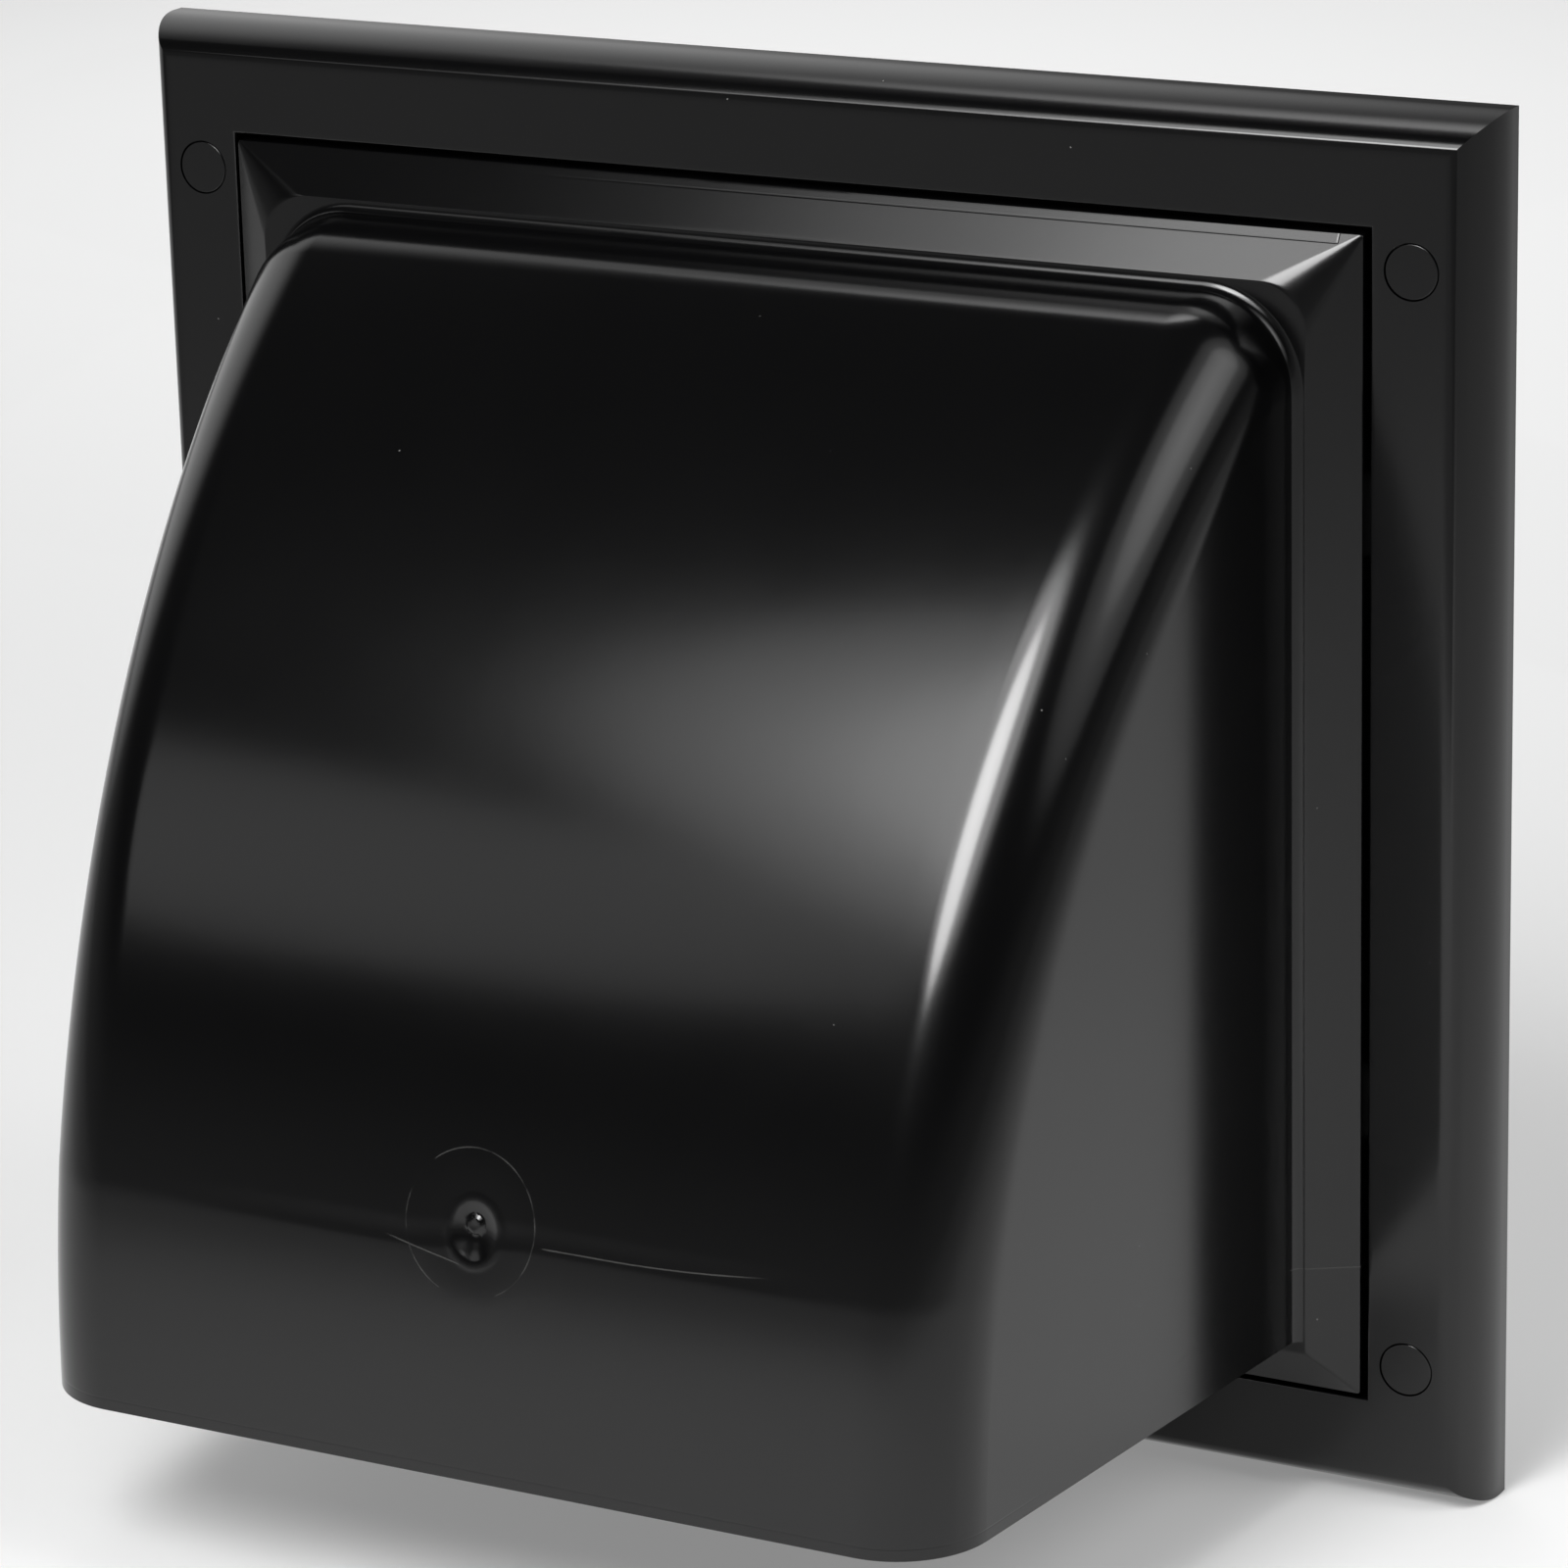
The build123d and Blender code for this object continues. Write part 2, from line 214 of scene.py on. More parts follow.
def hoodMarks(finish, spot, x, y, z, normal, dustAndSheen):
    # witness lines of the mould: round the gate, along the flow line, on the walls and on the flange, as
    # bumps and as painted highlight lines in a lighter colour
    marks, hair, score = mouldMarks, mouldMarks["hair"], mouldMarks["score"]
    front = finish.span(y, marks["frontFrom"], marks["frontTo"])
    broken = finish.ease(finish.noise(spot, marks["breakSize"]), marks["breakFrom"], marks["breakTo"])

    # painted highlight: a ring round the gate, and a hairline on each side of it
    across, upward = x - marks["ringX"] * mm, z - marks["ringZ"] * mm
    reach = (across * across + upward * upward) ** 0.5
    ring = finish.line(reach - marks["ringRadius"] * mm, hair) * front * broken
    late = ((x - marks["rightBend"] * mm) / (marks["rightRun"] * mm)).most(0)
    right = finish.line(z - marks["rightZ"] * mm - marks["rightRise"] * mm * late * late, hair)
    right = right * finish.span(x, *marks["rightStart"]) * finish.span(x, *marks["rightEnd"])
    left = finish.line(z - marks["leftZ"] * mm + marks["leftFall"] * (x - marks["leftX"] * mm), hair)
    left = left * finish.span(x, *marks["leftStart"]) * finish.span(x, *marks["leftEnd"])

    # painted highlight: parting line down the side walls and across the bevel
    blend, fade = marks["rootBlend"], marks["partingFade"] - marks["partingTo"]
    wall = finish.span(y, blend - rootOut, -blend - rootOut) * finish.span(y, -marks["partingTo"], fade)
    flange = finish.span(y, -blend - rootOut, blend - rootOut)
    fall = marks["partingZ"] * mm + marks["partingFall"] * (y + rootOut * mm)
    walls = finish.line(z - fall, hair) * wall * finish.span(abs(x), *marks["partingSide"])
    bevel = finish.line(z - marks["partingZ"] * mm, hair) * flange
    # the painted highlight lines, which lighten the colour the same way the dust does
    bright = (marks["ringShare"] * ring).most(right * front).most(left * front)
    bright = bright.most(marks["wallShare"] * walls * broken).most(marks["bevelShare"] * bevel)

    # scored lines: above the open edge, and along the top of the bevel with a tick at its end
    foot = finish.line(z - (hoodBottom + marks["footLine"]) * mm, score) * front
    inset = hood["halfZ"] - marks["topLine"]
    top = finish.line(z - inset * mm, score) * finish.span(x, marks["topFrom"], 0.0)
    top = top * finish.span(x, marks["topTo"] + marks["topFade"], marks["topTo"])
    tick = finish.line(x - marks["topTo"] * mm, score) * finish.span(z, inset - score, inset)
    lines = foot.most(top * flange).most(tick * flange)
    return finish.bump(1 - lines, marks["depth"], normal), dustAndSheen.most(marks["paintedShine"] * bright)


hiddenBlack = {
    "dark": (0.016, 0.016, 0.017, 1), "light": (0.024, 0.024, 0.025, 1), "roughness": 0.46, "spread": 0.1,
    "grainSize": 0.5, "grainHeight": 0.012, "cloudSize": 22.0,
}


def baseFinish(name):
    # matt black plastic of the hidden mouldings
    material, finish = newFinish(name)
    spot, x, y, z = finish.place()
    grain = finish.noise(spot, hiddenBlack["grainSize"], 2.0, 0.6)
    cloud = finish.noise(spot, hiddenBlack["cloudSize"], 3.0)
    finish.plastic({
        "Base Color": finish.tint(cloud, hiddenBlack["dark"], hiddenBlack["light"]),
        "Roughness": hiddenBlack["roughness"] + hiddenBlack["spread"] * cloud,
        "Normal": finish.bump(grain, hiddenBlack["grainHeight"]),
    })
    return material


foam = {
    "dark": (0.020, 0.020, 0.021, 1), "light": (0.048, 0.048, 0.050, 1), "roughness": 0.85, "spread": 0.1,
    "cellSize": 0.45, "cellHeight": 0.06,
}


def foamFinish(name):
    # closed-cell foam of the damper's ring
    material, finish = newFinish(name)
    spot, x, y, z = finish.place()
    scale = 1 / (foam["cellSize"] * mm)
    cells = finish.node("ShaderNodeTexVoronoi", {}, {"Vector": spot, "Scale": scale}, "Distance")
    finish.plastic({
        "Base Color": finish.tint(cells, foam["dark"], foam["light"]),
        "Roughness": foam["roughness"] + foam["spread"] * cells,
        "Normal": finish.bump(cells, foam["cellHeight"]),
    })
    return material


steel = {
    "dark": (0.42, 0.42, 0.43, 1), "light": (0.62, 0.62, 0.63, 1), "roughness": 0.26, "spread": 0.16,
    "streakLength": 25.0, "streakWidth": 0.4, "streakHeight": 0.004,
}


def steelFinish(name):
    # drawn steel wire of the hinge pin, brushed along its length
    material, finish = newFinish(name)
    spot, x, y, z = finish.place()
    stretch = (steel["streakWidth"] / steel["streakLength"], 1.0, 1.0)
    drawn = finish.node("ShaderNodeVectorMath", {"operation": "MULTIPLY"}, {0: spot, 1: stretch})
    streak = finish.noise(drawn, steel["streakWidth"], 3.0)
    finish.plastic({
        "Base Color": finish.tint(streak, steel["dark"], steel["light"]),
        "Metallic": 1.0, "Roughness": steel["roughness"] + steel["spread"] * streak,
        "Normal": finish.bump(streak, steel["streakHeight"]),
    })
    return material


# Meshes

weld = {"near": 0.004, "flat": 0.001}


class Skin:
    # grids of points given as x, out from the wall and height, welded where they meet
    def __init__(self):
        self.points = []
        self.faces = []

    def face(self, corners):
        start = len(self.points)
        self.points += corners
        self.faces.append(list(range(start, len(self.points))))

    def grid(self, rows):
        start = len(self.points)
        width = len(rows[0])
        for row in rows:
            self.points += row
        for i in range(len(rows) - 1):
            for j in range(width - 1):
                a = start + i * width + j
                self.faces.append([a, a + 1, a + width + 1, a + width])

    def mirror(self):
        count = len(self.points)
        self.points += [(-x, out, z) for x, out, z in self.points]
        self.faces += [[i + count for i in reversed(face)] for face in self.faces]

    def build(self, name):
        mesh = bpy.data.meshes.new(name)
        mesh.from_pydata([(x * mm, -out * mm, z * mm) for x, out, z in self.points], [], self.faces)
        work = bmesh.new()
        work.from_mesh(mesh)
        bmesh.ops.remove_doubles(work, verts=work.verts, dist=weld["near"] * mm)
        bmesh.ops.dissolve_degenerate(work, edges=work.edges, dist=weld["flat"] * mm)
        bmesh.ops.recalc_face_normals(work, faces=work.faces)
        loose = [edge for edge in work.edges if not edge.is_manifold]
        print("vent:", name, len(work.faces), "faces, open edges", len(loose))
        work.to_mesh(mesh)
        work.free()
        return addObject(name, mesh)


def addObject(name, mesh):
    made = bpy.data.objects.new(name, mesh)
    bpy.context.scene.collection.objects.link(made)
    return made


def bake(made):
    # the evaluated shape becomes the piece's own mesh, and its modifiers go
    graph = bpy.context.evaluated_depsgraph_get()
    mesh = bpy.data.meshes.new_from_object(made.evaluated_get(graph), depsgraph=graph)
    made.modifiers.clear()
    made.data = mesh
    return made


def soften(made, width, limit, sharp, segments=2):
    # small rounding on hard edges, then even normals on the flats
    if width:
        edge = made.modifiers.new("edge", "BEVEL")
        edge.width = width * mm
        edge.segments = segments
        edge.limit_method = "ANGLE"
        edge.angle_limit = radians(limit)
        edge.harden_normals = False
        bake(made)
    made.data.shade_smooth()
    made.data.set_sharp_from_angle(angle=radians(sharp))
    even = made.modifiers.new("even", "WEIGHTED_NORMAL")
    even.keep_sharp = True
    return bake(made)


def wear(made, material, body, slot, *nodes):
    made.data.materials.clear()
    made.data.materials.append(material)
    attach(made, body)
    if nodes:
        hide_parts(*nodes)


# Hood: one moulding with a bevelled flange, drafted walls, a sloping ledge and a curved front

hoodLow, hoodHigh = boxOf("hood")
hood = {
    "halfX": hoodHigh[0], "halfZ": hoodHigh[2], "depth": -hoodLow[1], "wall": 2.2,
    "skirtOut": 5.0, "edgeOut": 11.4, "bevelRun": 7.35, "bevelRise": 3.6, "land": 1.5,
    "corner": 0.4, "edgeSoft": 0.3, "landSoft": 0.35, "rootFillet": 1.4,
    "draft": 6.4, "ledge": 8.6, "footLean": 3.5, "sideRadius": 12.0, "crestRadius": 13.0,
    "turnSteps": 20, "filletSteps": 6, "crestSteps": 20, "frontStep": 0.8, "innerStep": 3.0, "gateStep": 0.27,
    "landCorner": 6.5, "rimSoft": 0.3, "hookWidth": 10.0, "hookWall": 2.0, "hookSpacing": 76.0,
    "hookTip": 0.625, "hookCatch": 2.35, "hookBarb": 0.9, "hookInset": 0.05, "hookRoot": 1.0,
    "softAngle": 50, "sharpAngle": 32,
}
draft = radians(hood["draft"])
slope = tan(draft)
rootOut = hood["edgeOut"] + hood["bevelRise"]
rootHalfX = hood["halfX"] - hood["bevelRun"]
rootHalfZ = hood["halfZ"] - hood["bevelRun"]
hoodBottom = -rootHalfZ
ledgeNormal = (sin(draft), cos(draft))
sideNormal = (cos(draft), sin(draft), 0.0)


def turn(a, b, t):
    # unit vector a share t of the way round from a to b
    angle = acos(max(-1.0, min(1.0, sum(p * q for p, q in zip(a, b)))))
    if angle < 1e-6:
        return tuple(a)
    wa, wb = sin((1 - t) * angle) / sin(angle), sin(t * angle) / sin(angle)
    return tuple(wa * p + wb * q for p, q in zip(a, b))


def lerp(a, b, t):
    return tuple(p + (q - p) * t for p, q in zip(a, b))


class HoodSkin:
    # one skin of the hood, moved inwards by inset, as points and normals along its side profile
    def __init__(self, inset, step, fineStep):
        self.step, self.fineStep = step, fineStep
        lean = radians(hood["footLean"])
        run = rootOut + hood["ledge"] - hood["depth"]
        rise = rootHalfZ - hood["ledge"] * slope - hoodBottom
        radius = (run ** 2 + rise ** 2) / (2 * (-run * cos(lean) - rise * sin(lean)))
        self.inset = inset
        self.ball = hood["sideRadius"] - inset
        self.front = (hood["depth"] - radius * cos(lean), hoodBottom - radius * sin(lean))
        self.frontRadius = radius - inset
        self.crestRadius = hood["crestRadius"] - inset
        self.ledgeUp = rootHalfZ + rootOut * slope - inset / cos(draft)

        # the crest's arc touches the ledge and the front
        along = (cos(draft), -sin(draft))
        base = (-self.crestRadius * ledgeNormal[0], self.ledgeUp - self.crestRadius * ledgeNormal[1])
        gap = (base[0] - self.front[0], base[1] - self.front[1])
        b = gap[0] * along[0] + gap[1] * along[1]
        c = gap[0] ** 2 + gap[1] ** 2 - (self.frontRadius - self.crestRadius) ** 2
        t = -b + sqrt(b * b - c)
        self.crest = (base[0] + t * along[0], base[1] + t * along[1])
        self.ledgeAngle = atan2(ledgeNormal[1], ledgeNormal[0])
        self.crestAngle = atan2(self.crest[1] - self.front[1], self.crest[0] - self.front[0])
        self.footAngle = asin((hoodBottom - self.front[1]) / self.frontRadius)
        self.ledgeEnd = self.crest[0] + self.crestRadius * ledgeNormal[0]

    def ledgeAt(self, out):
        return self.ledgeUp - slope * out

    def onArc(self, centre, radius, angle):
        normal = (cos(angle), sin(angle))
        return (centre[0] + radius * normal[0], centre[1] + radius * normal[1]), normal

    def onFront(self, angle):
        return self.onArc(self.front, self.frontRadius, angle)

    def spineX(self, out):
        return rootHalfX - (out - rootOut) * slope - hood["sideRadius"] / cos(draft)

    def row(self, point, normal):
        # points across the hood, from the left side wall to the right one
        centre = (point[0] - self.ball * normal[0], point[1] - self.ball * normal[1])
        spine = self.spineX(centre[0])
        start = (0.0, normal[0], normal[1])
        corner = []
        for k in range(1, hood["turnSteps"] + 1):
            d = turn(start, sideNormal, k / hood["turnSteps"])
            out, up = centre[0] + self.ball * d[1], centre[1] + self.ball * d[2]
            corner.append((spine + self.ball * d[0], out, up))
        flat = [(q * spine, point[0], point[1]) for q in flatShares]
        return [(-x, out, z) for x, out, z in reversed(corner)] + flat + corner

    def footRow(self):
        # the row cut level with the open underside
        last = []
        for j in range(2 * hood["turnSteps"] + len(flatShares)):
            low, high = self.footAngle - 0.03, self.footAngle + 0.03
            for step in range(30):
                middle = (low + high) / 2
                if self.row(*self.onFront(middle))[j][2] > hoodBottom:
                    high = middle
                else:
                    low = middle
            x, out, z = self.row(*self.onFront(high))[j]
            last.append((x, out, hoodBottom))
        return last

    def levelRow(self, out):
        # points and wall normals, from the middle of the top to the right side, where a plane cuts the walls
        top = (0.0,) + ledgeNormal
        spine = self.spineX(out - self.ball * ledgeNormal[0])
        found = [((q * spine, out, self.ledgeAt(out)), top) for q in flatShares if q >= 0]
        for k in range(1, hood["turnSteps"] + 1):
            d = turn(top, sideNormal, k / hood["turnSteps"])
            centre = out - self.ball * d[1]
            up = self.ledgeAt(centre + self.ball * ledgeNormal[0]) - self.ball * ledgeNormal[1]
            found.append(((self.spineX(centre) + self.ball * d[0], out, up + self.ball * d[2]), d))
        return found

    def capRows(self, first):
        # rows from the root over the ledge and the crest, down the front to the open edge
        rows = [first]
        start = max(p[1] for p in first) + 1.0
        for k in range(3):
            out = start + (self.ledgeEnd - start) * k / 3
            rows.append(self.row((out, self.ledgeAt(out)), ledgeNormal))
        for k in range(hood["crestSteps"]):
            angle = self.ledgeAngle + (self.crestAngle - self.ledgeAngle) * k / hood["crestSteps"]
            rows.append(self.row(*self.onArc(self.crest, self.crestRadius, angle)))
        low = asin((hoodBottom + 2.0 - self.front[1]) / self.frontRadius)
        angle = self.crestAngle
        while angle > low:
            point, normal = self.onFront(angle)
            rows.append(self.row(point, normal))
            close = abs(point[1] - gate["z"]) < gate["reach"]
            angle -= (self.fineStep if close else self.step) / self.frontRadius
        rows.append(self.footRow())
        return rows


gate = {
    "x": 0.45, "z": -36.3, "halfX": 3.2, "halfZ": 3.5, "depth": 0.75, "rim": 0.35, "rimHeight": 0.04,
    "reach": 6.5, "sinkRadius": 9.0, "sinkDepth": 0.16,
    "nubX": 0.3, "nubZ": -35.6, "nubRadius": 1.1, "nubHeight": 0.5, "nubTop": 0.85, "nubFoot": 1.2,
    "flowZ": -37.0, "flowShift": 0.8, "flowBend": 8.0, "flowUp": 2.4, "flowDown": 1.3, "flowDepth": 0.055,
    "flowMiddle": 4.0, "flowEnd": 47.0, "tuckLean": 3.0, "tuckSoft": 2.0, "spine": 53.4,
    "sideCount": 16, "sideSpread": 1.3,
}

# shares of the flat width, closer together round the gate mark
fineShare = gate["reach"] / gate["spine"]
fineCount = round(gate["reach"] / hood["gateStep"])
flatHalf = [k * fineShare / fineCount for k in range(fineCount + 1)]
flatHalf += [fineShare + (1 - fineShare) * (k / gate["sideCount"]) ** gate["sideSpread"]
             for k in range(1, gate["sideCount"] + 1)]
flatShares = [-q for q in reversed(flatHalf[1:])] + flatHalf


def bell(t):
    # 1 at 0, easing to 0 at 1
    return (1 - t * t) ** 2 if abs(t) < 1 else 0.0


def flowHeight(x):
    # the flow line climbs a little from left to right across the gate
    return gate["flowZ"] + gate["flowShift"] * max(-1.0, min(1.0, x / gate["flowBend"]))


def gateShape(x, z):
    # how far the front stands in or out by the gate: a lipped dimple with a cut nub, and the flow line
    t = hypot((x - gate["x"]) / gate["halfX"], (z - gate["z"]) / gate["halfZ"])
    shift = -gate["sinkDepth"] * bell(hypot(x - gate["x"], z - gate["z"]) / gate["sinkRadius"])
    if t < 1:
        shift -= gate["depth"] * (1 - t * t)
    elif t < 1 + gate["rim"]:
        shift += gate["rimHeight"] * sin(pi * (t - 1) / gate["rim"])
    nub = hypot(x - gate["nubX"], z - gate["nubZ"]) / gate["nubRadius"]
    rise = (gate["nubFoot"] - nub) / (gate["nubFoot"] - gate["nubTop"])
    shift += gate["nubHeight"] * max(0.0, min(1.0, rise))
    away = z - flowHeight(x)
    groove = bell(away / gate["flowUp"]) if away > 0 else bell(away / gate["flowDown"])
    return shift - gate["flowDepth"] * groove * bell((x - gate["flowMiddle"]) / gate["flowEnd"]) ** 0.5


def footTuck(x, z):
    # below the flow line the front leans in a little more
    below, soft = flowHeight(x) - z, gate["tuckSoft"]
    if below <= 0:
        return 0.0
    return tan(radians(gate["tuckLean"])) * (below ** 2 / (2 * soft) if below < soft else below - soft / 2)


def rootSweep(point, normal):
    # the root fillet's arc at one place, from the land to the wall
    lean = asin(normal[1])
    away = (normal[0] / cos(lean), normal[2] / cos(lean))
    r = hood["rootFillet"]
    foot = r / tan((pi / 2 + lean) / 2)
    centre = (point[0] + away[0] * foot, point[1] + r, point[2] + away[1] * foot)
    back = tuple(-v for v in normal)
    arc = [turn((0, -1, 0), back, k / hood["filletSteps"]) for k in range(hood["filletSteps"] + 1)]
    return [tuple(c + r * v for c, v in zip(centre, d)) for d in arc]


def flangeStrip(edge, away, land):
    # one section of the flange's outside, from the skirt's back over the soft edge to the land
    run = (edge[0] - land[0]) * away[0] + (edge[1] - land[1]) * away[1]
    tilt = atan2(hood["bevelRise"], run)
    r = hood["edgeSoft"]
    t = r * tan((pi / 2 - tilt) / 2)
    outer = (edge[0], hood["edgeOut"], edge[1])
    inner = (land[0], rootOut, land[1])
    length = sqrt(sum((p - q) ** 2 for p, q in zip(outer, inner)))
    strip = [(edge[0], hood["skirtOut"], edge[1]), (edge[0], hood["edgeOut"] - t - 0.3, edge[1])]
    for k in range(4):
        a = (pi / 2 - tilt) * k / 4
        h, o = -r + r * cos(a), -t + r * sin(a)
        strip.append((edge[0] + h * away[0], hood["edgeOut"] + o, edge[1] + h * away[1]))
    strip += [lerp(outer, inner, share) for share in (t / length, (t + 0.3) / length, 0.5)]
    soft = hood["landSoft"]
    before = lerp(outer, inner, 1 - soft / length)
    strip += [lerp(outer, inner, 1 - (soft + 0.3) / length), before]
    return strip, before, inner


def landTurn(before, inner, foot):
    # soft turn from the bevel to the flat land
    reach = hypot(foot[0] - inner[0], foot[2] - inner[2])
    after = lerp(inner, foot, min(0.6, hood["landSoft"] / max(reach, 1e-6)))
    middle = lerp(lerp(before, inner, 0.5), lerp(inner, after, 0.5), 0.5)
    return [middle, after, foot]


def buildHood():
    outside = HoodSkin(0.0, hood["frontStep"], hood["gateStep"])
    inside = HoodSkin(hood["wall"], hood["innerStep"], hood["innerStep"])
    rootRow = outside.levelRow(rootOut)
    sweeps = [rootSweep(point, normal) for point, normal in rootRow]
    touch = [sweep[-1] for sweep in sweeps]
    innerLevel = rootOut - hood["wall"]
    innerRow = [point for point, normal in inside.levelRow(innerLevel)]

    def whole(right):
        return [(-x, out, z) for x, out, z in reversed(right[1:])] + right

    outerCap = outside.capRows(whole(touch))
    innerCap = inside.capRows(whole(innerRow))
    for row in outerCap[4 + hood["crestSteps"]:-1]:
        for j, (x, out, z) in enumerate(row):
            row[j] = (x, out + gateShape(x, z), z)
    for row in outerCap[4 + hood["crestSteps"]:] + innerCap[4 + hood["crestSteps"]:]:
        widest = row[-1][0]
        for j, (x, out, z) in enumerate(row):
            tuck = footTuck(x, z)
            row[j] = (x + tuck * slope * x / widest, out - tuck, z)

    # right half of all the rest
    half = Skin()
    count = len(outerCap) - 1
    sideCount = int(count * 0.55)
    edgeX, edgeZ = hood["halfX"], hood["halfZ"]
    cornerX, cornerZ = edgeX - hood["corner"], edgeZ - hood["corner"]
    landX, landZ = rootHalfX + hood["land"], rootHalfZ + hood["land"]
    topCount = len(flatHalf)

    columns = []  # root point, wall normal, flange edge, its outward direction and the bevel's inner edge
    turnX, turnZ = landX - hood["landCorner"], landZ - hood["landCorner"]
    for j, (point, normal) in enumerate(rootRow):
        level = hypot(normal[0], normal[2])
        away = (normal[0] / level, normal[2] / level)
        if j < topCount:
            edge, land = (flatHalf[j] * cornerX, edgeZ), (flatHalf[j] * turnX, landZ)
        else:
            edge = (cornerX + hood["corner"] * away[0], cornerZ + hood["corner"] * away[1])
            land = (turnX + hood["landCorner"] * away[0], turnZ + hood["landCorner"] * away[1])
        columns.append((point, normal, edge, away, land))
    top = rootRow[-1][0][2]
    for i in range(1, sideCount + 1):
        share = i / sideCount
        point = (rootHalfX, rootOut, top + (hoodBottom - top) * share)
        columns.append((point, sideNormal, (edgeX, cornerZ - 2 * cornerZ * share), (1.0, 0.0),
                        (landX, turnZ + (hoodBottom - turnZ) * share)))

    strips = []
    for point, normal, edge, away, land in columns:
        strip, before, inner = flangeStrip(edge, away, land)
        sweep = rootSweep(point, normal)
        strips.append(strip + landTurn(before, inner, sweep[0])[:-1] + sweep)
    half.grid(strips)
    footReach = strips[-1][-len(sweeps[0])][0] - rootHalfX

    # bottom of the flange, round the mitred corner to the middle
    bottom = [((rootHalfX, hoodBottom), (edgeX, -cornerZ), (1.0, 0.0), (landX, hoodBottom))]
    for k in range(5):
        a = -pi / 2 * k / 4
        away = (cos(a), sin(a))
        c = hood["corner"]
        bottom.append(((rootHalfX, hoodBottom), (cornerX + c * away[0], -cornerZ + c * away[1]), away,
                       (landX - c + c * away[0], -landZ + c + c * away[1])))
    for k in range(1, 13):
        share = 1 - k / 12
        bottom.append(((rootHalfX * share, hoodBottom), (cornerX * share, -edgeZ), (0.0, -1.0),
                       ((landX - hood["corner"]) * share, -landZ)))
    low = []
    for root, edge, away, land in bottom:
        strip, before, inner = flangeStrip(edge, away, land)
        foot = lerp((root[0], rootOut, root[1]), inner, footReach / hood["land"])
        low.append(strip + landTurn(before, inner, foot) + [(root[0], rootOut, root[1])])
    half.grid(low)

    # hollow back of the flange
    wall = hood["wall"]
    rise = hood["bevelRise"] / (hood["bevelRun"] - hood["land"])
    innerEdge = hood["edgeOut"] + wall * rise - wall * sqrt(1 + rise ** 2)
    tuck = landX - (edgeX - wall - (innerLevel - innerEdge) / rise)

    def hollow(edge):
        return (min(edge[0], edgeX - wall), max(-edgeZ + wall, min(edge[1], edgeZ - wall)))

    backs = []
    innerSide = innerRow[-1]
    for j, (point, normal, edge, away, land) in enumerate(columns):
        level = hypot(normal[0], normal[2])
        under = (land[0] - tuck * normal[0] / level, land[1] - tuck * normal[2] / level)
        if j < len(innerRow):
            wallPoint = innerRow[j]
        else:
            share = (j - len(innerRow) + 1) / sideCount
            wallPoint = (innerSide[0], innerLevel, innerSide[2] + (hoodBottom - innerSide[2]) * share)
        h = hollow(edge)
        backs.append([(edge[0], hood["skirtOut"], edge[1]), (h[0], hood["skirtOut"], h[1]),
                      (h[0], innerEdge, h[1]), (under[0], innerLevel, under[1]), wallPoint])
    half.grid(backs)
    mouthLow = hoodBottom - wall
    meet = innerEdge + (mouthLow + edgeZ - wall) * rise
    lows = []
    for root, edge, away, land in bottom:
        h = hollow(edge)
        lows.append([(edge[0], hood["skirtOut"], edge[1]), (h[0], hood["skirtOut"], h[1]),
                     (h[0], innerEdge, h[1]), (root[0], meet, mouthLow),
                     (root[0], hood["skirtOut"], mouthLow),
                     (root[0], hood["skirtOut"], hoodBottom), (root[0], rootOut, hoodBottom)])
    half.grid(lows)
    half.face([backs[-1][3], backs[-1][2], lows[0][3], lows[0][4], lows[0][5], lows[0][6], backs[-1][4]])
    half.face(list(reversed(strips[-1][-len(sweeps[0]):])) + [lows[0][6], backs[-1][4]])

    # side walls, outer and inner, then the rim between them
    def sidePath(first, foot):
        path = list(first)
        start = path[-1]
        for k in range(1, count - sideCount + 1):
            path.append(lerp(start, foot, k / (count - sideCount)))
        return path

    sideTouch = [touch[-1]] + [strip[-1] for strip in strips[len(rootRow):]]
    outerPath = sidePath(sideTouch, outerCap[-1][-1])
    innerPath = sidePath([innerRow[-1]] + [back[-1] for back in backs[len(innerRow):]], innerCap[-1][-1])
    shares = (0.0, 0.02, 0.15, 0.5, 0.85, 0.98, 1.0)
    innerCount = len(innerCap) - 1
    half.grid([[lerp(outerCap[i][-1], outerPath[i], t) for t in shares] for i in range(count + 1)])
    picks = [innerCap[round(i * innerCount / count)][-1] for i in range(count + 1)]
    half.grid([[lerp(picks[i], innerPath[i], t) for t in shares] for i in range(count + 1)])
    half.grid([[outerPath[i], innerPath[i]] for i in range(sideCount, count + 1)])

    # snap hooks behind the flange
    for z in (-hood["hookSpacing"] / 2, hood["hookSpacing"] / 2):
        face, back = edgeX - hood["hookWall"], edgeX - hood["hookInset"]
        tip, catch, deep = hood["hookTip"], hood["hookCatch"], hood["skirtOut"] + hood["hookRoot"]
        barb = face - hood["hookBarb"]
        outline = [(back, tip), (face, tip), (barb, catch), (face, catch), (face, deep), (back, deep)]
        ends = [[(x, out, z + side * hood["hookWidth"] / 2) for x, out in outline] for side in (-1, 1)]
        half.grid([end + end[:1] for end in ends])
        half.face(ends[0])
        half.face(list(reversed(ends[1])))

    half.mirror()
    half.grid(outerCap)
    half.grid(innerCap)
    half.grid([outerCap[-1], innerCap[-1]])
    made = half.build("hood_shell")
    return soften(made, hood["rimSoft"], hood["softAngle"], hood["sharpAngle"])


# Trim frame: a channel swept round the opening, with mitred corners

